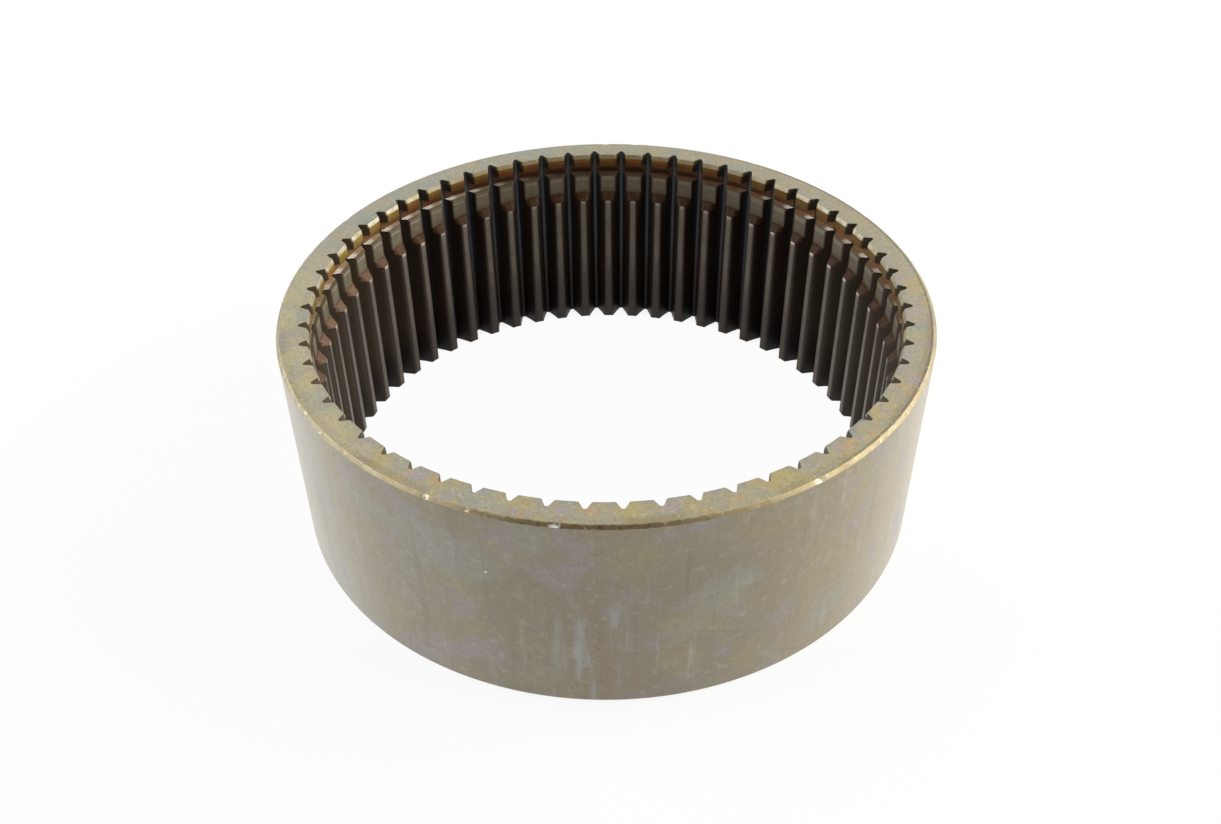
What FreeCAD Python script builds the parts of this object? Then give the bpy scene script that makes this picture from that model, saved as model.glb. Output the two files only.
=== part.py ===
import FreeCAD, Part
import os
import Sketcher
from FreeCAD import Vector

# Internal ring gear: one steel ring with straight teeth cut through its bore.
# The ring stands on its lower face, z = 0, with its axis on +Z.
# At the upper end the teeth are turned back to a wider bore that carries a
# snap-ring groove, so a carrier can be seated there and held in.

doc = FreeCAD.newDocument("internal_ring_gear")

# Driving dimensions, in millimetres and degrees.
SIZES = {
    # teeth
    "tooth_count": 60,
    "tooth_module": 3.0,
    "pressure_angle": 25.0,
    "addendum": 2.4,           # pitch circle in to the tooth tips
    "tooth_depth": 5.7,        # tooth tips out to the root circle
    "root_gap": 0.93,          # width of a tooth space on the root circle
    # ring
    "rim_wall": 6.7,           # root circle out to the outer wall
    "ring_height": 69.4,
    "rim_chamfer": 1.0,        # both outer edges
    "bore_bevel": 0.5,         # lower edge of the bore
    # seat turned into the upper end of the teeth
    "seat_step": 2.7,          # tooth tips out to the seat
    "lead_in": 0.6,            # upper edge of the seat, measured across
    "lead_in_depth": 1.4,      # the same edge, measured down
    "upper_land": 4.3,         # upper face down to the snap-ring groove
    "groove_width": 3.4,
    "groove_depth": 2.6,
    "groove_chamfer": 0.7,     # lower edge of the groove
    "lower_land": 7.3,         # groove down to the seat's shoulder
    "tooth_end_chamfer": 2.2,  # ends of the full-depth teeth at the shoulder
}

sheet = doc.addObject("Spreadsheet::Sheet", "Sizes")
for row, (alias, value) in enumerate(SIZES.items(), start=1):
    sheet.set(f"A{row}", alias.replace("_", " "))
    sheet.set(f"B{row}", str(value))
    sheet.setAlias(f"B{row}", alias)
doc.recompute()

# Radii, as formulas on the driving dimensions.
PITCH = "(Sizes.tooth_module * Sizes.tooth_count / 2)"
BASE = f"({PITCH} * cos(Sizes.pressure_angle * 1deg))"
TIP = f"({PITCH} - Sizes.addendum)"
ROOT = f"({TIP} + Sizes.tooth_depth)"
OUTER = f"({ROOT} + Sizes.rim_wall)"
SEAT = f"({TIP} + Sizes.seat_step)"
GROOVE = f"({SEAT} + Sizes.groove_depth)"

# Heights, measured down from the upper face.
TOP = "Sizes.ring_height"
GROOVE_TOP = f"({TOP} - Sizes.upper_land)"
GROOVE_LEDGE = f"({GROOVE_TOP} - Sizes.groove_width)"
SHOULDER = f"({GROOVE_LEDGE} - Sizes.lower_land)"

# Each cut starts this far outside the metal, and two edges closer than
# SAME_PLACE are one edge.
RUN_IN = 1.0
SAME_PLACE = 0.001


def number(formula):
    """The value of a formula on the sizes sheet."""
    result = sheet.evalExpression(formula)
    return float(getattr(result, "Value", result))


body = doc.addObject("PartDesign::Body", "ring_gear")
body.Label = "ring_gear"


def origin(role):
    """One of the body's own origin planes or axes."""
    return next(item for item in body.Origin.OriginFeatures if item.Role == role)


def new_sketch(name, plane):
    sketch = body.newObject("Sketcher::SketchObject", name)
    sketch.AttachmentSupport = (origin(plane), [""])
    sketch.MapMode = "FlatFace"
    return sketch


def place(sketch, curve, end, across, up):
    """Hold one end of a curve at two formulas, measured from the sketch's origin."""
    for kind, formula in (("DistanceX", across), ("DistanceY", up)):
        rule = Sketcher.Constraint(kind, -1, 1, curve, end, number(formula))
        sketch.setExpression(f"Constraints[{sketch.addConstraint(rule)}]", formula)


def turned_section(name, inner, outer, low, high):
    """A rectangular section on the XZ plane, between two radii and two heights."""
    sketch = new_sketch(name, "XZ_Plane")
    left, right, bottom, top = (number(formula) for formula in (inner, outer, low, high))
    corners = [Vector(left, bottom), Vector(right, bottom), Vector(right, top), Vector(left, top)]
    for start, end in zip(corners, corners[1:] + corners[:1]):
        sketch.addGeometry(Part.LineSegment(start, end))
    for line in range(4):
        sketch.addConstraint(Sketcher.Constraint("Coincident", line, 2, (line + 1) % 4, 1))
    for line in (0, 2):
        sketch.addConstraint(Sketcher.Constraint("Horizontal", line))
    for line in (1, 3):
        sketch.addConstraint(Sketcher.Constraint("Vertical", line))
    place(sketch, 0, 1, inner, low)
    place(sketch, 2, 1, outer, high)
    return sketch


def turn(kind, name, sketch):
    """Revolve a section once round the ring's axis, adding or cutting."""
    feature = body.newObject(kind, name)
    feature.Profile = sketch
    feature.ReferenceAxis = (sketch, ["V_Axis"])
    feature.Angle = 360
    sketch.Visibility = False
    doc.recompute()
    return feature


def break_edge(name, base, radius, height, size, second_size=None):
    """Chamfer the round edge at a radius and a height, by one size or by two."""
    names = []
    for index, edge in enumerate(base.Shape.Edges, start=1):
        curve = edge.Curve
        if not isinstance(curve, Part.Circle):
            continue
        same_radius = abs(curve.Radius - number(radius)) < SAME_PLACE
        same_height = abs(curve.Center.z - number(height)) < SAME_PLACE
        if same_radius and same_height:
            names.append(f"Edge{index}")
    if not names:
        raise RuntimeError(f"{name}: no edge at radius {radius} and height {height}")
    chamfer = body.newObject("PartDesign::Chamfer", name)
    chamfer.Base = (base, names)
    chamfer.setExpression("Size", size)
    if second_size:
        chamfer.ChamferType = "Two distances"
        chamfer.setExpression("Size2", second_size)
    doc.recompute()
    return chamfer


# Turned blank, bored to the tooth tips.
blank_section = turned_section("blank_section", TIP, OUTER, "0", TOP)
blank = turn("PartDesign::Revolution", "blank", blank_section)

# Seat turned into the upper end of the bore, then its snap-ring groove.
seat_section = turned_section("seat_section", f"{TIP} - {RUN_IN}", SEAT, SHOULDER, f"{TOP} + {RUN_IN}")
seat = turn("PartDesign::Groove", "seat", seat_section)
groove_section = turned_section("groove_section", f"{SEAT} - {RUN_IN}", GROOVE, GROOVE_LEDGE, GROOVE_TOP)
groove = turn("PartDesign::Groove", "snap_ring_groove", groove_section)

# Broken edges, from the outside in.
feature = groove
for name, radius, height, *sizes in (
    ("upper_rim_chamfer", OUTER, TOP, "Sizes.rim_chamfer"),
    ("lower_rim_chamfer", OUTER, "0", "Sizes.rim_chamfer"),
    ("seat_lead_in", SEAT, TOP, "Sizes.lead_in", "Sizes.lead_in_depth"),
    ("lower_bore_bevel", TIP, "0", "Sizes.bore_bevel"),
    ("groove_edge_chamfer", SEAT, GROOVE_LEDGE, "Sizes.groove_chamfer"),
    ("tooth_end_chamfer", TIP, SHOULDER, "Sizes.tooth_end_chamfer"),
):
    feature = break_edge(name, feature, radius, height, *sizes)
turned_volume = body.Shape.Volume


def involute(radius):
    """The involute angle at a radius, in degrees."""
    angle = f"acos({BASE} / ({radius}))"
    return f"(tan({angle}) * 180deg / pi - {angle})"


def flank(radius):
    """Where a flank crosses a radius, as across and up, with the space centred on X."""
    half_root = f"(Sizes.root_gap / 2 / {ROOT} * 180deg / pi)"
    half_space = f"({half_root} + {involute(ROOT)} - {involute(radius)})"
    return f"({radius}) * cos({half_space})", f"({radius}) * sin({half_space})"


# One tooth space: two involute flanks that end on the root circle.
# Each flank is the arc through three points of the involute.
MOUTH = f"({TIP} - {RUN_IN})"
MIDDLE = f"(({MOUTH} + {ROOT}) / 2)"
mouth, middle, root = flank(MOUTH), flank(MIDDLE), flank(ROOT)


def point(across_and_up, side):
    across, up = across_and_up
    return Vector(number(across), side * number(up))


space = new_sketch("tooth_space_section", "XY_Plane")
right_flank = space.addGeometry(Part.Arc(point(mouth, -1), point(middle, -1), point(root, -1)))
root_arc = space.addGeometry(Part.Arc(point(root, -1), Vector(number(ROOT), 0), point(root, 1)))
left_flank = space.addGeometry(Part.Arc(point(root, 1), point(middle, 1), point(mouth, 1)))
opening = space.addGeometry(Part.LineSegment(point(mouth, 1), point(mouth, -1)))
guide = space.addGeometry(Part.Point(point(middle, 1)), True)
outline = (right_flank, root_arc, left_flank, opening)
for curve, following in zip(outline, outline[1:] + outline[:1]):
    space.addConstraint(Sketcher.Constraint("Coincident", curve, 2, following, 1))
space.addConstraint(Sketcher.Constraint("PointOnObject", root_arc, 3, -2))
space.addConstraint(Sketcher.Constraint("Symmetric", right_flank, 2, left_flank, 1, -1))
space.addConstraint(Sketcher.Constraint("Symmetric", right_flank, 1, left_flank, 2, -1))
space.addConstraint(Sketcher.Constraint("Equal", right_flank, left_flank))
space.addConstraint(Sketcher.Constraint("PointOnObject", guide, 1, left_flank))
place(space, left_flank, 1, *root)
place(space, left_flank, 2, *mouth)
place(space, guide, 1, *middle)

cut = body.newObject("PartDesign::Pocket", "tooth_space")
cut.Profile = space
cut.Type = "ThroughAll"
cut.Midplane = True
space.Visibility = False
doc.recompute()
one_space_volume = body.Shape.Volume

# The same space, once for each tooth, round the ring.
teeth = body.newObject("PartDesign::PolarPattern", "teeth")
teeth.Originals = [cut]
teeth.Axis = (origin("Z_Axis"), [""])
teeth.Angle = 360
teeth.setExpression("Occurrences", "Sizes.tooth_count")
body.Tip = teeth
doc.recompute()

# Every step has to have worked, and every cut has to have removed metal.
for item in doc.Objects:
    if "Invalid" in item.State or "Error" in item.State:
        raise RuntimeError(f"{item.Name} failed: {item.State}")
if body.Shape.isNull() or not body.Shape.isValid() or len(body.Shape.Solids) != 1:
    raise RuntimeError("the ring is not one valid solid")
if not body.Shape.Volume < one_space_volume < turned_volume < blank.Shape.Volume:
    raise RuntimeError("a cut removed nothing")

os.makedirs("parts", exist_ok=True)
body.Shape.exportStep(f"parts/{body.Label}.step")
box = body.Shape.BoundBox
print(f"ring gear {box.XLength:.2f} x {box.YLength:.2f} x {box.ZLength:.2f} mm")
print(f"volume {body.Shape.Volume / 1000:.1f} cm3, {len(body.Shape.Faces)} faces")
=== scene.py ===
import math
import bmesh
import bpy
import numpy as np
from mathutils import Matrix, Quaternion, Vector


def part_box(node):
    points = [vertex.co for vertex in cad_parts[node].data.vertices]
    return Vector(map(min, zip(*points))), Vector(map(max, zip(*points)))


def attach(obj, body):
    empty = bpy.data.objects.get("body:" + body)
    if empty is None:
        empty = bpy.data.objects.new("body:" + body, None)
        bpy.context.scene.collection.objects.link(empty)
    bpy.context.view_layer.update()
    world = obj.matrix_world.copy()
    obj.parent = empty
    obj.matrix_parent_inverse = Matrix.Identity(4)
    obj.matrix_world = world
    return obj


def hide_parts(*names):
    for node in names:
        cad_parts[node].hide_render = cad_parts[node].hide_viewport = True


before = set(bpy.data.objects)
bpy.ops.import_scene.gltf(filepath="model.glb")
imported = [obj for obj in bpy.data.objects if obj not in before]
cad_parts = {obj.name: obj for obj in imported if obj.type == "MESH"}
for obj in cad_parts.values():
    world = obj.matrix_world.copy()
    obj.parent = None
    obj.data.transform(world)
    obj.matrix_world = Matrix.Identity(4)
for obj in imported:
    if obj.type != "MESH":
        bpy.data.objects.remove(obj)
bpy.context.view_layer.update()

# Camera
# It stands in front of the ring, on its -Y side, and looks down into the bore as the
# photograph does. The heading turns a tooth space to the place that it has there.
HEADING = math.radians(-2.40)
CAMERA_BACK = 0.3228
CAMERA_HEIGHT = 0.2918
CAMERA_ROLL = math.radians(-0.336)
CAMERA_AIM = (0.0010, -0.0201, 0.0401)
LENS_LENGTH = 37.383
SENSOR_WIDTH = 36.0


def turned(point):
    """A point given as the camera's front sees it, turned to the camera's heading."""
    return Quaternion((0, 0, 1), HEADING) @ Vector(point)


camera_data = bpy.data.cameras.new("camera")
camera_data.lens = LENS_LENGTH
camera_data.sensor_width = SENSOR_WIDTH
camera_data.clip_start = 0.01
camera_data.clip_end = 50.0
camera = bpy.data.objects.new("camera", camera_data)
camera.location = turned((0, -CAMERA_BACK, CAMERA_HEIGHT))
camera.rotation_mode = "QUATERNION"
look = (turned(CAMERA_AIM) - camera.location).to_track_quat("-Z", "Y")
camera.rotation_quaternion = look @ Quaternion((0, 0, 1), CAMERA_ROLL)
bpy.context.scene.collection.objects.link(camera)
bpy.context.scene.camera = camera
bpy.context.scene.view_settings.view_transform = "Standard"


# Floor and light
# The ring stands on white paper, between two soft boxes, with a weak one over its back.
# A dark card behind and above the camera keeps the front of the wall from washing out.
class Link:
    """One socket of a material: sums and products on it add Math nodes to the material."""

    def __init__(self, tree, socket=None):
        self.tree = tree
        self.socket = socket

    def add(self, kind, settings=None, sockets=None, output=0):
        """A new node: its type, its settings, then the values or links of its sockets."""
        node = self.tree.nodes.new("ShaderNode" + kind)
        for name, value in (settings or {}).items():
            setattr(node, name, value)
        for name, value in (sockets or {}).items():
            if isinstance(value, Link):
                self.tree.links.new(value.socket, node.inputs[name])
            else:
                node.inputs[name].default_value = value
        return Link(self.tree, node.outputs[output] if node.outputs else None)

    def maths(self, operation, *values):
        """A Math node on this value and the ones that follow it."""
        return self.add("Math", {"operation": operation}, dict(enumerate((self, *values))))

    def __add__(self, other):
        return self.maths("ADD", other)

    def __radd__(self, other):
        return self + other

    def __sub__(self, other):
        return self.maths("SUBTRACT", other)

    def __rsub__(self, other):
        return self.add("Math", {"operation": "SUBTRACT"}, {0: other, 1: self})

    def __mul__(self, other):
        return self.maths("MULTIPLY", other)

    def __rmul__(self, other):
        return self * other

    def rise(self, low, high):
        """0 below low, 1 above high, smooth between. With low above high it falls instead."""
        sockets = {"Value": self, "From Min": low, "From Max": high}
        return self.add("MapRange", {"interpolation_type": "SMOOTHSTEP"}, sockets)

    def between(self, first, second):
        """The first colour where this is 0, the second where it is 1."""
        return self.add("Mix", {"data_type": "RGBA"}, {0: self, 6: first, 7: second}, 2)


def seen_directly(nodes):
    """1 for the rays that show the background: the camera's own, mirrored and bent ones."""
    camera_ray = nodes.add("LightPath", output="Is Camera Ray")
    mirrored_ray = nodes.add("LightPath", output="Is Glossy Ray")
    bent_ray = nodes.add("LightPath", output="Is Transmission Ray")
    return camera_ray.maths("MAXIMUM", mirrored_ray).maths("MAXIMUM", bent_ray)


def new_material(name):
    """A material with no nodes yet, and the link that adds them."""
    material = bpy.data.materials.new(name)
    material.use_nodes = True
    material.node_tree.nodes.clear()
    return material, Link(material.node_tree)


world = bpy.data.worlds.new("studio")
world.use_nodes = True
world.node_tree.nodes.clear()
sky = Link(world.node_tree)
soft = sky.add("Background", None, {"Color": (1, 1, 1, 1), "Strength": 0.35})
white = sky.add("Background", None, {"Color": (1, 1, 1, 1), "Strength": 1.0})
both = sky.add("MixShader", None, {0: seen_directly(sky), 1: soft, 2: white})
sky.add("OutputWorld", None, {"Surface": both})
bpy.context.scene.world = world

FLOOR_REACH = 4.0
floor_corners = [(-FLOOR_REACH, -FLOOR_REACH, 0), (FLOOR_REACH, -FLOOR_REACH, 0),
                 (FLOOR_REACH, FLOOR_REACH, 0), (-FLOOR_REACH, FLOOR_REACH, 0)]
floor_mesh = bpy.data.meshes.new("floor")
floor_mesh.from_pydata(floor_corners, [], [(0, 1, 2, 3)])
floor = bpy.data.objects.new("floor", floor_mesh)
bpy.context.scene.collection.objects.link(floor)

# Where it is seen directly the paper mostly glows, so the lamps shade it only faintly.
# It is whiter inside the bore, and pure white far off, where it meets the background.
BORE_FLOOR = 0.088
floor_material, paper = new_material("white_paper")
lit = paper.add("BsdfDiffuse", None, {"Color": (0.85, 0.85, 0.86, 1)})
bright = paper.add("Emission", None, {"Color": (1, 1, 1, 1), "Strength": 1.0})
on_floor = paper.add("TexCoord", output="Object")
from_axis = paper.add("VectorMath", {"operation": "LENGTH"}, {0: on_floor}, "Value")
in_bore = from_axis.rise(BORE_FLOOR + 0.004, BORE_FLOOR)
whiteness = 0.89 + from_axis.rise(0.25, 1.0) * 0.11 + in_bore * 0.07
surface = paper.add("MixShader", None, {0: seen_directly(paper) * whiteness, 1: lit, 2: bright})
paper.add("OutputMaterial", None, {"Surface": surface})
floor_mesh.materials.append(floor_material)

CARD_HALF = 0.45
card_corners = [(-CARD_HALF, -0.75, 0.25), (CARD_HALF, -0.75, 0.25),
                (CARD_HALF, -0.35, 0.95), (-CARD_HALF, -0.35, 0.95)]
card_mesh = bpy.data.meshes.new("dark_card")
card_mesh.from_pydata([turned(corner) for corner in card_corners], [], [(0, 1, 2, 3)])
card = bpy.data.objects.new("dark_card", card_mesh)
bpy.context.scene.collection.objects.link(card)
card.visible_camera = False
card_material, felt = new_material("dark_card")
black = felt.add("BsdfDiffuse", None, {"Color": (0.03, 0.03, 0.03, 1)})
felt.add("OutputMaterial", None, {"Surface": black})
card_mesh.materials.append(card_material)

LAMP_AIM = (0, 0, 0.03)


def soft_box(name, place, width, height, power, colour):
    """A rectangular lamp that points at the ring and that the camera doesn't see."""
    data = bpy.data.lights.new(name, "AREA")
    data.shape = "RECTANGLE"
    data.size = width
    data.size_y = height
    data.energy = power
    data.color = colour
    lamp = bpy.data.objects.new(name, data)
    lamp.location = turned(place)
    lamp.rotation_mode = "QUATERNION"
    lamp.rotation_quaternion = (turned(LAMP_AIM) - lamp.location).to_track_quat("-Z", "Y")
    lamp.visible_camera = False
    bpy.context.scene.collection.objects.link(lamp)


soft_box("left_soft_box", (-0.75, 0.05, 0.35), 0.7, 0.6, 7.4, (0.95, 0.98, 1.0))
soft_box("right_soft_box", (0.75, 0.05, 0.35), 0.7, 0.6, 11.2, (1.0, 0.97, 0.91))
soft_box("back_soft_box", (0, 0.65, 0.75), 0.8, 0.5, 1.0, (1, 1, 1))

# Ring gear
# One ring of steel, turned and then hardened. Sixty straight teeth are cut through the
# bore, and their upper ends are turned back to a seat with a groove for a snap ring.
# Its sizes are in millimetres, radii from the axis and heights from the floor.
MM = 0.001
TOOTH_COUNT = 60
PITCH_RADIUS = 90.0
PRESSURE_ANGLE = math.radians(25.0)
BASE_RADIUS = PITCH_RADIUS * math.cos(PRESSURE_ANGLE)
TIP = 87.6
ROOT = 93.3
ROOT_GAP = 0.93
SEAT = 90.3
GROOVE = 92.9
gear_low, gear_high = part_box("ring_gear")
TOP = gear_high.z / MM
OUTSIDE = min(-gear_low.x, gear_high.x, -gear_low.y, gear_high.y) / MM
RIM_CHAMFER = 1.0
BORE_BEVEL = 0.5
LEAD_IN = 0.6
LEAD_IN_END = TOP - 1.4
GROOVE_TOP = TOP - 4.3
LEDGE = GROOVE_TOP - 3.4
GROOVE_CHAMFER = 0.7
SHOULDER = LEDGE - 7.3
END_CHAMFER = 2.2

# The turned section, once round the metal: each corner's radius, height and rounding,
# and the finish of the surface that leads to the next corner.
finishes = ["wall", "end_face", "rim_edge", "lead_in", "upper_land", "groove", "ledge",
            "groove_edge", "seat", "shoulder", "tip", "flank"]
section = [
    (OUTSIDE - RIM_CHAMFER, 0.0, 0.1, "rim_edge"),
    (OUTSIDE, RIM_CHAMFER, 0.2, "wall"),
    (OUTSIDE, TOP - RIM_CHAMFER, 0.2, "rim_edge"),
    (OUTSIDE - RIM_CHAMFER, TOP, 0.2, "end_face"),
    (SEAT + LEAD_IN, TOP, 0.1, "lead_in"),
    (SEAT, LEAD_IN_END, 0.2, "upper_land"),
    (SEAT, GROOVE_TOP, 0.12, "groove"),
    (GROOVE, GROOVE_TOP, 0.2, "groove"),
    (GROOVE, LEDGE, 0.3, "ledge"),
    (SEAT + GROOVE_CHAMFER, LEDGE, 0.12, "groove_edge"),
    (SEAT, LEDGE - GROOVE_CHAMFER, 0.12, "seat"),
    (SEAT, SHOULDER, 0.2, "shoulder"),
    (TIP + END_CHAMFER, SHOULDER, 0.12, "shoulder"),
    (TIP, SHOULDER - END_CHAMFER, 0.3, "tip"),
    (TIP, BORE_BEVEL, 0.1, "tip"),
    (TIP + BORE_BEVEL, 0.0, 0.1, "end_face"),
]


def rounded_section():
    """The section as a closed run of points, each with the finish that follows it."""
    points = []
    for index, (radius, height, rounding, finish) in enumerate(section):
        here = np.array((radius, height))
        before = np.array(section[index - 1][:2])
        after = np.array(section[(index + 1) % len(section)][:2])
        inward = (before - here) / np.linalg.norm(before - here)
        onward = (after - here) / np.linalg.norm(after - here)
        previous = section[index - 1][3]
        for step in (0.0, 0.5, 1.0):
            blend = (1 - step) ** 2 * inward + step ** 2 * onward
            point = here + rounding * blend
            points.append((point[0], point[1], previous if step == 0.0 else finish))
    return points


def divided(points, longest):
    """The same run, with its long stretches cut to the longest step of each finish."""
    result = []
    for index, (radius, height, finish) in enumerate(points):
        result.append((radius, height, finish))
        if finish not in longest:
            continue
        next_radius, next_height, _ = points[(index + 1) % len(points)]
        length = math.hypot(next_radius - radius, next_height - height)
        pieces = max(1, round(length / longest[finish]))
        for step in range(1, pieces):
            share = step / pieces
            result.append((radius + share * (next_radius - radius),
                           height + share * (next_height - height), finish))
    return result


run = divided(rounded_section(), {"wall": 12.0, "end_face": 2.5, "tip": 20.0, "rim_edge": 0.5})
run_radius = np.array([point[0] for point in run])
run_height = np.array([point[1] for point in run])
run_finish = [point[2] for point in run]
bore_side = run_radius < ROOT + 1.0


def involute(radius):
    """The involute angle at a radius, in degrees."""
    angle = math.acos(BASE_RADIUS / radius)
    return math.degrees(math.tan(angle) - angle)


def half_space(radius):
    """Half the angle of a tooth space at a radius, in degrees."""
    return math.degrees(ROOT_GAP / 2 / ROOT) + involute(ROOT) - involute(radius)


# Columns of points from the middle of a space to the middle of a tooth: each one's
# angle, and the radius that the cut reaches there. They lie closest at the tooth's tip.
flank_radii = [ROOT, GROOVE, (GROOVE + SEAT) / 2, SEAT + LEAD_IN, SEAT, TIP + END_CHAMFER,
               TIP + 1.2, TIP + 0.6, TIP, TIP - 0.5, TIP - 1.0, TIP - 1.6]
half_pitch = 180.0 / TOOTH_COUNT
half_tooth = [(0.0, ROOT)] + [(half_space(radius), radius) for radius in flank_radii]
half_tooth += [(half_pitch, 0.0)]
mirrored = [(2 * half_pitch - angle, reach) for angle, reach in half_tooth[-2:0:-1]]
columns = [(angle + 2 * half_pitch * tooth, reach) for tooth in range(TOOTH_COUNT)
           for angle, reach in half_tooth + mirrored]
column_angle = np.radians([angle for angle, _ in columns])[:, None]
column_reach = np.array([reach for _, reach in columns])[:, None]

# The edges of the cuts are broken at both end faces. Their corners are softened over a
# width that is largest along the tooth tips, and smallest past the seat and within
# CLOSE_BY of an end face.
EDGE_BREAK = 0.14
TIP_CORNER = 1.7
SEAT_CORNER = 0.6
SHARP_CORNER = 0.25
CLOSE_BY = 0.1
TINY = 1e-6
end_break = np.maximum(EDGE_BREAK - (TOP - run_height), 0) + np.maximum(EDGE_BREAK - run_height, 0)
cut = column_reach + end_break[None, :]
plain = np.broadcast_to(run_radius[None, :], cut.shape)
gap = np.abs(plain - cut)
corner = np.interp(run_radius, (TIP, SEAT, SEAT + CLOSE_BY), (TIP_CORNER, SEAT_CORNER, SHARP_CORNER))
at_an_end = (run_height < CLOSE_BY) | (run_height > TOP - CLOSE_BY)
corner = np.where(at_an_end, SHARP_CORNER, corner)[None, :]
softening = np.where(gap < corner, (corner - gap) ** 2 / (4 * corner), 0)
ring_radius = np.where(bore_side[None, :], np.maximum(plain, cut) + softening, plain)
ring_height = np.broadcast_to(run_height[None, :], ring_radius.shape)
on_flank = bore_side[None, :] & (cut >= plain - TINY)

# Nicks knocked into the upper rim chamfer, as angle, width and depth: the clear ones
# are placed as the photograph shows them, and the rest are scattered.
SCATTERED_NICKS = 14
NICK_SLANT = 0.6
NICK_HEIGHT = TOP - 0.45
NICK_SPREAD = 0.55
NICK_REACH = 1.8
clear_nicks = [(-100.2, 1.6, 0.5), (-120.3, 0.9, 0.25), (-113.4, 0.7, 0.15), (-59.0, 1.3, 0.3)]
chance = np.random.RandomState(7)
scattered_nicks = [(chance.uniform(-50, 225), chance.uniform(0.7, 1.5), chance.uniform(0.1, 0.35))
                   for _ in range(SCATTERED_NICKS)]
near_rim = np.exp(-((run_height - NICK_HEIGHT) / NICK_SPREAD) ** 2) * (run_radius > OUTSIDE - NICK_REACH)
for angle, width, depth in clear_nicks + scattered_nicks:
    beside = (np.degrees(column_angle) - angle + 180) % 360 - 180
    dent = depth * np.exp(-(np.radians(beside) * OUTSIDE / width) ** 2) * near_rim[None, :]
    ring_radius = ring_radius - NICK_SLANT * dent
    ring_height = ring_height - NICK_SLANT * dent

# Every point is joined to the next column and the next point of the run. A face whose
# four corners are on a cut is a flank.
points = np.stack([ring_radius * np.cos(column_angle), ring_radius * np.sin(column_angle), ring_height],
                  axis=-1) * MM
column_count, run_count = ring_radius.shape
number = np.arange(column_count * run_count).reshape(column_count, run_count).tolist()
faces = []
face_finish = []
for column in range(column_count):
    next_column = (column + 1) % column_count
    for row in range(run_count):
        next_row = (row + 1) % run_count
        corners = [(column, row), (next_column, row), (next_column, next_row), (column, next_row)]
        faces.append([number[across][along] for across, along in corners])
        is_flank = all(on_flank[place] for place in corners)
        face_finish.append(finishes.index("flank" if is_flank else run_finish[row]))

gear_mesh = bpy.data.meshes.new("ring_gear_steel")
gear_mesh.from_pydata(points.reshape(-1, 3).tolist(), [], faces)
gear_mesh.polygons.foreach_set("material_index", face_finish)

# Points that fall together are joined, and the shading breaks at the sharp edges.
SAME_PLACE = 0.002 * MM
SHARP_EDGE = math.radians(38)
shape = bmesh.new()
shape.from_mesh(gear_mesh)
bmesh.ops.remove_doubles(shape, verts=shape.verts, dist=SAME_PLACE)
bmesh.ops.dissolve_degenerate(shape, edges=shape.edges, dist=SAME_PLACE)
for face in shape.faces:
    face.smooth = True
for edge in shape.edges:
    edge.smooth = not (len(edge.link_faces) == 2 and edge.calc_face_angle(0) > SHARP_EDGE)
shape.to_mesh(gear_mesh)
shape.free()
gear = bpy.data.objects.new("ring_gear_steel", gear_mesh)
bpy.context.scene.collection.objects.link(gear)
weighting = gear.modifiers.new("weighted_normals", "WEIGHTED_NORMAL")
weighting.keep_sharp = True


def paint(red, green, blue):
    """A colour from its 0 to 255 screen values."""
    values = []
    for share in (red / 255, green / 255, blue / 255):
        values.append(share / 12.92 if share <= 0.04045 else ((share + 0.055) / 1.055) ** 2.4)
    return (*values, 1.0)


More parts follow.
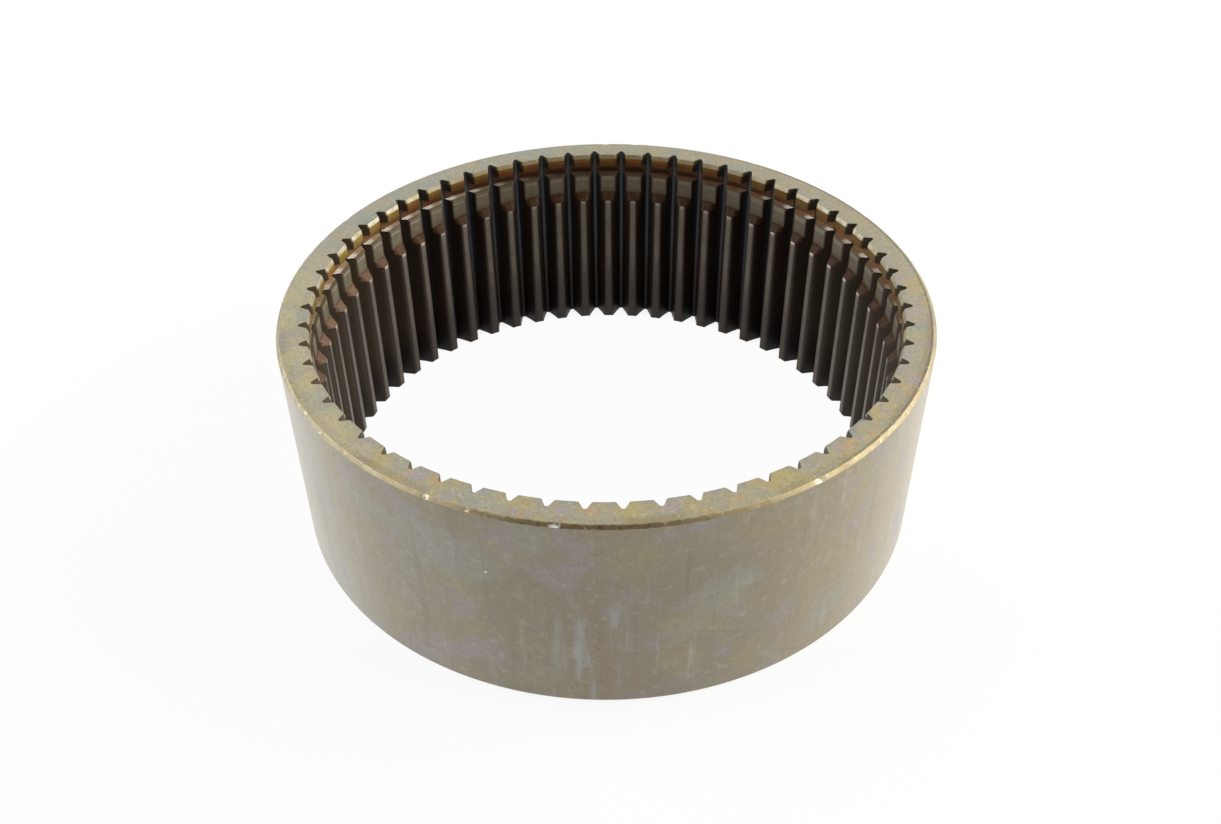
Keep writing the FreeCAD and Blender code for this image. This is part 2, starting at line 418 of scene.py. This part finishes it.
class Steel:
    """One finish of the ring, built up as colour, roughness and relief."""

    FILM_ROUGHNESS = 0.3
    RELIEF_DEPTH = 0.0002

    def __init__(self, name, plain, metal, rough, film=0.0, gloss=0.5):
        self.material, self.nodes = new_material(name)
        self.place = self.nodes.add("TexCoord", output="Object")
        in_mm = self.nodes.add("VectorMath", {"operation": "SCALE"}, {0: self.place, "Scale": 1 / MM})
        self.x = self.nodes.add("SeparateXYZ", None, {0: in_mm}, "X")
        self.y = self.nodes.add("SeparateXYZ", None, {0: in_mm}, "Y")
        self.height = self.nodes.add("SeparateXYZ", None, {0: in_mm}, "Z")
        self.colour = plain
        self.metal = metal
        self.rough = rough
        self.film = film
        self.gloss = gloss
        self.relief = 0.0

    def right(self, start, full):
        """0 up to start and 1 from full on, in millimetres to the right of the axis."""
        return self.x.rise(start, full)

    def left(self, start, full):
        """The same to the left of the axis."""
        return self.x.rise(-start, -full)

    def sides(self, start, full):
        """The same to both sides of the axis."""
        return self.x.maths("ABSOLUTE").rise(start, full)

    def back(self, start, full):
        """The same behind the axis."""
        return self.y.rise(start, full)

    def front(self, start, full):
        """The same in front of the axis."""
        return self.y.rise(-start, -full)

    def from_axis(self):
        """Millimetres from the axis."""
        squares = self.x * self.x + self.y * self.y
        return squares.maths("POWER", 0.5)

    def noise(self, scale, detail=3.0, stretch=(1, 1, 1), shift=0.0):
        """Cloudy noise from 0 to 1; scale is in clouds a metre."""
        settings = {"operation": "MULTIPLY_ADD"}
        spot = self.nodes.add("VectorMath", settings, {0: self.place, 1: stretch, 2: (shift, shift, shift)})
        return self.nodes.add("TexNoise", None, {"Vector": spot, "Scale": scale, "Detail": detail})

    def near(self, angle, radius, height, reach):
        """1 at a place on the ring, given in degrees and millimetres, and 0 beyond reach."""
        turn = math.radians(angle)
        spot = Vector((radius * math.cos(turn), radius * math.sin(turn), height)) * MM
        away = self.nodes.add("VectorMath", {"operation": "DISTANCE"}, {0: self.place, 1: spot}, "Value")
        return away.rise(reach * MM, reach * MM * 0.4)

    def pitches(self):
        """The way round the ring, counted in teeth from the middle of a space."""
        return self.y.maths("ARCTAN2", self.x) * (TOOTH_COUNT / (2 * math.pi))

    def across_tooth(self):
        """0 in the middle of a tooth space, 1 in the middle of a tooth."""
        share = (self.pitches() + 0.5).maths("FRACT") - 0.5
        return share.maths("ABSOLUTE") * 2.0

    def front_flank(self):
        """Positive on the side of a tooth that lies towards the ring's front, else negative."""
        side = self.pitches().maths("FRACT") * 2.0 - 1.0
        return side * (1 - self.right(-20, 20) * 2.0)

    def stain(self, mask, colour):
        """Lay a colour over the last one where the mask is 1."""
        self.colour = mask.between(self.colour, colour)

    def clouds(self, scale, amount, colour, shift=0.0, low=0.5, high=0.68):
        """Stain it in cloudy patches."""
        self.stain(self.noise(scale, 4.0, shift=shift).rise(low, high) * amount, colour)

    def specks(self, scale, size, share, colour, shift=0.0):
        """Small round marks, in only some of the cells."""
        settings = {"operation": "ADD"}
        spot = self.nodes.add("VectorMath", settings, {0: self.place, 1: (shift, shift, shift)})
        cells = {"Vector": spot, "Scale": scale}
        near = self.nodes.add("TexVoronoi", None, cells).rise(size * 1.5, size * 0.5)
        chosen = self.nodes.add("TexVoronoi", None, cells, output="Color").rise(1 - share, 1.02 - share)
        self.stain(near * chosen, colour)

    def done(self, bump=0.0):
        """Close the material and give it to the ring, in the order of the finishes."""
        sockets = {"Base Color": self.colour, "Metallic": self.metal, "Roughness": self.rough}
        sockets["Coat Weight"] = self.film
        sockets["Coat Roughness"] = self.FILM_ROUGHNESS
        sockets["Specular IOR Level"] = self.gloss
        if bump:
            heights = {"Strength": bump, "Distance": self.RELIEF_DEPTH, "Height": self.relief}
            sockets["Normal"] = self.nodes.add("Bump", None, heights)
        shader = self.nodes.add("BsdfPrincipled", None, sockets)
        self.nodes.add("OutputMaterial", None, {"Surface": shader})
        gear_mesh.materials.append(self.material)


# Outer wall: satin under a thin oil film, yellower on the right, with painted light that makes
# it paler at both sides and painted shade that darkens it low in front, with grey, olive and mauve clouds,
# upright smears and fine grain.
wall = Steel("outer_wall", paint(134, 124, 102), 0.55, 0.45, film=0.8)
wall.stain(wall.right(0, 85) * 0.5, paint(150, 136, 90))
# Painted light: both sides paler, where the soft boxes light the wall.
wall.stain(wall.sides(60, 92) * 0.4, paint(178, 170, 150))
# Painted shade: darker low in front, where the wall gets little light.
wall.stain(wall.front(85, 98) * wall.height.rise(62.0, 48.0) * 0.4, paint(118, 109, 88))
wall.clouds(55.0, 0.6, paint(141, 131, 90))
wall.clouds(75.0, 0.6, paint(140, 130, 134), shift=3.1, low=0.52)
wall.clouds(38.0, 0.45, paint(138, 142, 136), shift=7.7, low=0.52, high=0.7)
smears = wall.noise(260.0, 2.0, stretch=(1, 1, 0.08), shift=1.3)
wall.stain(smears.rise(0.6, 0.78) * 0.35, paint(176, 174, 164))
wall.stain(smears.rise(0.42, 0.28) * 0.35, paint(114, 104, 84))
mottle = wall.noise(420.0, shift=4.2)
wall.stain(mottle.rise(0.46, 0.34) * 0.3, paint(116, 106, 82))
wall.stain(mottle.rise(0.56, 0.7) * 0.3, paint(166, 160, 144))
grain = wall.noise(1500.0, 2.0)
wall.stain(grain.rise(0.45, 0.3) * 0.3, paint(108, 100, 84))
wall.stain(grain.rise(0.58, 0.74) * 0.25, paint(182, 174, 156))

# Pale oil runs with brown between them and a few rust spots, low on the front of the
# wall, then small bright and dark specks all over it.
oily = wall.front(80, 92) * wall.right(-23, -14) * wall.left(-9, 0) * wall.height.rise(44.0, 32.0)
runs = wall.noise(210.0, stretch=(1, 1, 0.16), shift=5.9)
wall.stain(oily * runs.rise(0.53, 0.7) * 0.5, paint(158, 163, 164))
wall.stain(oily * runs.rise(0.5, 0.38) * 0.35, paint(128, 104, 72))
wall.stain(oily * wall.noise(600.0, 2.0, shift=8.8).rise(0.62, 0.72) * 0.5, paint(116, 76, 58))
wall.specks(140.0, 0.05, 0.12, paint(220, 216, 200))
wall.specks(170.0, 0.06, 0.08, paint(90, 70, 50), shift=2.2)
wall.rough = 0.4 + mottle * 0.1 + grain * 0.05
wall.relief = grain * 0.4 + wall.noise(2500.0, 1.0, stretch=(0.02, 0.02, 1))
wall.done(0.12)

# End faces: faced flat, khaki and gold where the heat tinted them, with mauve and grey
# between. Painted shade makes them darker at the back, and they are greyer on the left.
end_face = Steel("end_face", paint(148, 141, 116), 0.55, 0.42, film=0.2)
# Painted shade: darker at the back.
end_face.stain(end_face.back(0, 70) * 0.35, paint(132, 126, 104))
end_face.stain(end_face.left(-20, 60) * 0.6, paint(140, 141, 130))
patchy = 1 - end_face.back(-50, 30) * 0.6
end_face.clouds(110.0, patchy * 0.7, paint(160, 145, 92), shift=5.2, low=0.47, high=0.64)
end_face.clouds(140.0, patchy * 0.75, paint(148, 136, 140), shift=9.4, low=0.52, high=0.64)
end_face.clouds(90.0, 0.7, paint(130, 137, 128), shift=1.9, low=0.54, high=0.66)
end_face.clouds(170.0, patchy * 0.6, paint(172, 140, 92), shift=2.6, low=0.55, high=0.7)

# On the same faces: bluish grey beside the teeth, a brown margin along the rim in
# front, a dark line close to the rim on the right, and olive patches at the left end.
distance = end_face.from_axis()
beside_teeth = distance.rise(ROOT + 0.6, ROOT - 3.0) * end_face.noise(260.0, shift=6.6).rise(0.42, 0.56)
end_face.stain(beside_teeth * 0.55, paint(122, 128, 128))
margin = distance.rise(OUTSIDE - 4.2, OUTSIDE - 2.4) * end_face.front(0, 30)
end_face.stain(margin * end_face.noise(60.0, 2.0, shift=4.9).rise(0.4, 0.55) * 0.45, paint(118, 102, 78))
line = distance.rise(OUTSIDE - 2.1, OUTSIDE - 1.7) * distance.rise(OUTSIDE - 1.1, OUTSIDE - 1.5)
end_face.stain(line * end_face.right(40, 70) * 0.7, paint(92, 86, 70))
olive = end_face.left(45, 75) * end_face.front(-50, -10) * end_face.noise(100.0, shift=7.3).rise(0.38, 0.6)
end_face.stain(olive * 0.55, paint(168, 158, 118))

# Fine grain, specks and turning marks finish the end faces.
fine = end_face.noise(1100.0)
end_face.stain(fine.rise(0.46, 0.32) * 0.4, paint(112, 106, 80))
end_face.stain(fine.rise(0.58, 0.72) * 0.5, paint(186, 180, 158))
end_face.specks(190.0, 0.06, 0.14, paint(236, 230, 212))
end_face.rough = 0.54 + fine * 0.12
rings = end_face.nodes.add("CombineXYZ", None, {0: distance * 2.6})
turning = end_face.nodes.add("TexNoise", None, {"Vector": rings, "Scale": 1.0, "Detail": 1.0})
end_face.relief = fine * 0.4 + turning * 0.6
end_face.done(0.1)

# Rim chamfers: turned, with a straw-coloured film that is greyer at the sides, with painted shade
# that makes them dark in front, and worn bright along both corners and in the clear nicks.
rim = Steel("rim_edge", paint(158, 145, 112), 0.45, 0.5)
rim.clouds(160.0, 0.6, paint(134, 112, 72), low=0.45, high=0.7)
# Painted shade: a dark reflection along the chamfer in front.
shaded_front = rim.front(60, 90) * rim.right(-50, -15) * rim.left(-45, 0)
rim.stain(shaded_front * 0.75, paint(92, 78, 50))
rim.stain(rim.sides(55, 80) * 0.5, paint(122, 114, 90))
rim.stain(rim.right(45, 70) * 0.45, paint(112, 102, 74))
rim.stain(rim.left(55, 80) * 0.6, paint(116, 111, 90))
rim.clouds(600.0, 0.5, paint(204, 192, 158), shift=2.0, low=0.6, high=0.72)
# Dark brown clouds all round, with painted shade that makes them stronger in front.
rim.clouds(500.0, shaded_front * 0.6 + 0.15, paint(72, 56, 34), shift=5.0, low=0.54, high=0.66)
rubbed = rim.noise(420.0, 2.0, shift=3.7).rise(0.4, 0.6)
both_corners = rim.height.rise(TOP - 0.8, TOP - 1.0) + rim.height.rise(TOP - 0.3, TOP - 0.1)
rim.stain(rubbed * both_corners * 0.5, paint(188, 164, 108))
chipped = rim.noise(800.0, shift=9.1).rise(0.42, 0.56)
for angle, width, _ in clear_nicks:
    knocked = rim.near(angle, OUTSIDE - 0.5, TOP - 0.4, width * 1.2)
    rim.stain(knocked * chipped, paint(232, 226, 210))
rim.rough = 0.46 + rim.noise(160.0) * 0.12
rim.done()

# Lead-in: the bright turned edge above the seat, gold along its foot, with painted shade that
# makes it brown at the back, and greyer in front.
lead_in = Steel("lead_in", paint(170, 164, 142), 0.25, 0.5)
lead_in.clouds(420.0, 0.8, paint(148, 132, 98), low=0.46, high=0.6)
lead_in.stain(lead_in.height.rise(LEAD_IN_END + 0.5, LEAD_IN_END - 0.1) * 0.5, paint(150, 122, 64))
# Painted shade: brown at the back.
lead_in.stain(lead_in.back(50, 84) * 0.75, paint(116, 96, 50))
lead_in.stain(lead_in.front(-30, 10) * 0.4, paint(130, 124, 104))
lead_in.done()

# Upper land, above the groove: straw, gold and red-brown from the heat, browner towards
# the groove, with painted shade that makes it dark at the back and on the right, and olive in front.
upper_land = Steel("upper_land", paint(146, 119, 60), 0.45, 0.45, gloss=0.2)
upper_land.clouds(300.0, 0.8, paint(158, 134, 64), low=0.48, high=0.58)
upper_land.clouds(260.0, 0.85, paint(160, 90, 48), shift=6.0, low=0.48, high=0.58)
upper_land.stain(upper_land.height.rise(LEAD_IN_END - 0.6, GROOVE_TOP) * 0.45, paint(84, 54, 30))
# Painted shade: dark at the back.
upper_land.stain(upper_land.back(35, 80) * 0.75, paint(82, 50, 4))
rusty = upper_land.back(50, 85) * upper_land.height.rise(LEAD_IN_END - 0.8, LEAD_IN_END - 1.6)
upper_land.stain(rusty * 0.6, paint(76, 32, 8))
# Painted shade: dark on the right.
upper_land.stain(upper_land.right(20, 70) * 0.7, paint(84, 64, 30))
upper_land.stain(upper_land.front(-35, 0) * 0.6, paint(108, 104, 66))
upper_land.done()

# Groove: brown, with painted shade that makes it nearly black at the back.
groove = Steel("groove", paint(116, 84, 50), 0.45, 0.45, gloss=0.2)
groove.clouds(260.0, 0.7, paint(132, 70, 42))
# Painted shade: nearly black at the back, deep in the recess.
groove.stain(groove.back(35, 80) * 0.8, paint(46, 20, 12))
groove.done()

# Ledge, the groove's lower side: steel, with painted light that makes it bright on the half of each
# tooth that lies towards the front. Painted shade makes the other half brown, and the whole of it dark at
# the back.
# Painted light: a base nearly white, for the light that falls in through the tooth spaces.
ledge = Steel("ledge", paint(252, 248, 236), 0.1, 0.4)
ledge.clouds(240.0, 0.35, paint(210, 176, 124))
# Painted shade: brown on the half of each tooth that lies away from the front.
ledge.stain(ledge.front_flank().rise(0.4, -0.2) * 0.85, paint(160, 132, 90))
# Painted shade: dark at the back.
ledge.stain(ledge.back(74, 91) * 0.9, paint(70, 46, 30))
# Painted shade: red-brown at the right of the back.
ledge.stain(ledge.right(0, 20) * ledge.back(64, 76) * 0.85, paint(92, 52, 34))
ledge.stain(ledge.front(-32, -12) * 0.75, paint(146, 128, 92))
# Painted shade: brown on the right, on the half of each tooth that lies away from the front.
ledge.stain(ledge.right(0, 40) * ledge.front_flank().rise(0.5, 0.05) * 0.85, paint(138, 96, 68))
ledge.done()

# Groove edge: the broken edge beside the ledge, dark brown.
groove_edge = Steel("groove_edge", paint(66, 50, 24), 0.4, 0.55)
groove_edge.clouds(200.0, 0.6, paint(52, 36, 20))
groove_edge.done()

# Seat, the lower land: grey with olive and mauve clouds. Painted light makes it pale near the top,
# with a dark band above that on the left. It is brown at the foot, and painted shade makes it
# dark where it meets the tooth spaces, at the back and on the right.
seat = Steel("seat", paint(124, 114, 94), 0.45, 0.45)
seat.clouds(260.0, 0.75, paint(100, 96, 60))
seat.clouds(240.0, 0.65, paint(126, 100, 92), shift=4.4, low=0.52)
seat.clouds(200.0, 0.6, paint(92, 98, 88), shift=8.1, low=0.53)
seat.clouds(900.0, 0.4, paint(84, 76, 60), shift=2.1, high=0.66)
# Painted light: pale near the top, where more light reaches.
seat.stain(seat.height.rise(LEDGE - 2.6, LEDGE - 1.6) * 0.7, paint(172, 162, 140))
seat.stain(seat.height.rise(LEDGE - 1.7, LEDGE - 1.2) * seat.left(-30, 30) * 0.7, paint(76, 66, 46))
foot = seat.height.rise(SHOULDER + 3.0, SHOULDER) * (1 - seat.left(30, 80) * 0.8)
seat.stain(foot * 0.8, paint(92, 66, 44))
# Painted shade: dark along the edges beside the tooth spaces.
seat.stain(seat.across_tooth().rise(0.6, 0.47) * 0.75, paint(54, 46, 36))
# Painted shade: darker at the back.
seat.stain(seat.back(50, 84) * 0.6, paint(72, 64, 46))
# Painted shade: darker on the right.
seat.stain(seat.right(0, 50) * 0.5, paint(78, 66, 54))
seat.done()

# Shoulder: the chamfered ends of the full-depth teeth, in red-brown film, with a painted highlight on
# the flank that faces the front, painted light on the left, and painted shade on the right and at the back.
shoulder = Steel("shoulder", paint(66, 38, 18), 0.1, 0.6, gloss=0.2)
shoulder.clouds(300.0, 0.7, paint(94, 66, 26), low=0.47, high=0.62)
# Painted light: paler on the left.
shoulder.stain(shoulder.left(60, 88) * 0.65, paint(124, 101, 84))
# A painted highlight on the flank that faces the front.
shoulder.stain(shoulder.front_flank().rise(0.25, 0.55) * 0.6, paint(146, 112, 88))
# Painted shade: dark on the right.
shoulder.stain(shoulder.right(0, 50) * 0.65, paint(48, 30, 20))
# Painted shade: dark at the back.
shoulder.stain(shoulder.back(50, 84) * 0.6, paint(48, 30, 12))
shoulder.stain(shoulder.front(-4, 14) * 0.65, paint(74, 62, 50))
shoulder.done()

# Tooth tips: grey-brown, with painted light that pales them towards the upper end and a painted highlight
# dot there, with dark corners, and with painted shade on the dark feet at the back.
tip = Steel("tooth_tip", paint(98, 88, 75), 0.5, 0.42)
# Painted light: paler towards the upper end.
tip.stain(tip.height.rise(SHOULDER - 8.0, SHOULDER - 3.0) * 0.5, paint(120, 108, 94))
# A painted highlight: a bright dot at each tip's upper end, fainter at the back.
highlight_dot = tip.height.rise(SHOULDER - 3.6, SHOULDER - 2.5) * tip.across_tooth().rise(0.74, 0.86)
tip.stain(highlight_dot * (1 - tip.back(50, 84) * 0.75) * 0.95, paint(214, 201, 182))
tip.clouds(200.0, 0.5, paint(78, 62, 52))
# Painted shade: dark feet at the back, low in the bore.
tip.stain(tip.back(20, 70) * tip.height.rise(34.0, 12.0) * 0.8, paint(44, 34, 30))
tip.stain(tip.across_tooth().rise(0.88, 0.76) * 0.9, paint(40, 30, 24))
tip.done()

# Tooth flanks: cut and left with a dark film, bluish along the roots except at the sides, with painted
# light that makes them olive above the ledge and paler at the left and right, and painted shade that makes
# them nearly black at the feet behind.
flank = Steel("tooth_flank", paint(47, 35, 22), 0.35, 0.5, gloss=0.3)
flank.stain(flank.noise(120.0, stretch=(1, 1, 0.3)).rise(0.5, 0.7) * 0.5, paint(36, 37, 32))
reddish = flank.noise(150.0, stretch=(1, 1, 0.3), shift=3.3).rise(0.52, 0.7)
flank.stain(reddish * 0.6, paint(66, 32, 22))
along_root = flank.across_tooth().rise(0.32, 0.12) * flank.height.rise(10.0, 42.0) * flank.sides(80, 50)
flank.stain(along_root * 0.85, paint(80, 84, 90))
# Painted light: olive above the ledge, where light from above falls.
flank.stain(flank.height.rise(LEDGE, TOP) * 0.6, paint(72, 66, 44))
# Painted light: paler at the left and right.
flank.stain(flank.left(55, 84) * 0.6, paint(100, 86, 68))
flank.stain(flank.right(60, 84) * 0.5, paint(88, 76, 62))
# Painted shade: nearly black at the feet behind.
flank.stain(flank.back(0, 50) * flank.height.rise(24.0, 4.0) * 0.8, paint(20, 14, 11))
flank.done()

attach(gear, "root")
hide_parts("ring_gear")
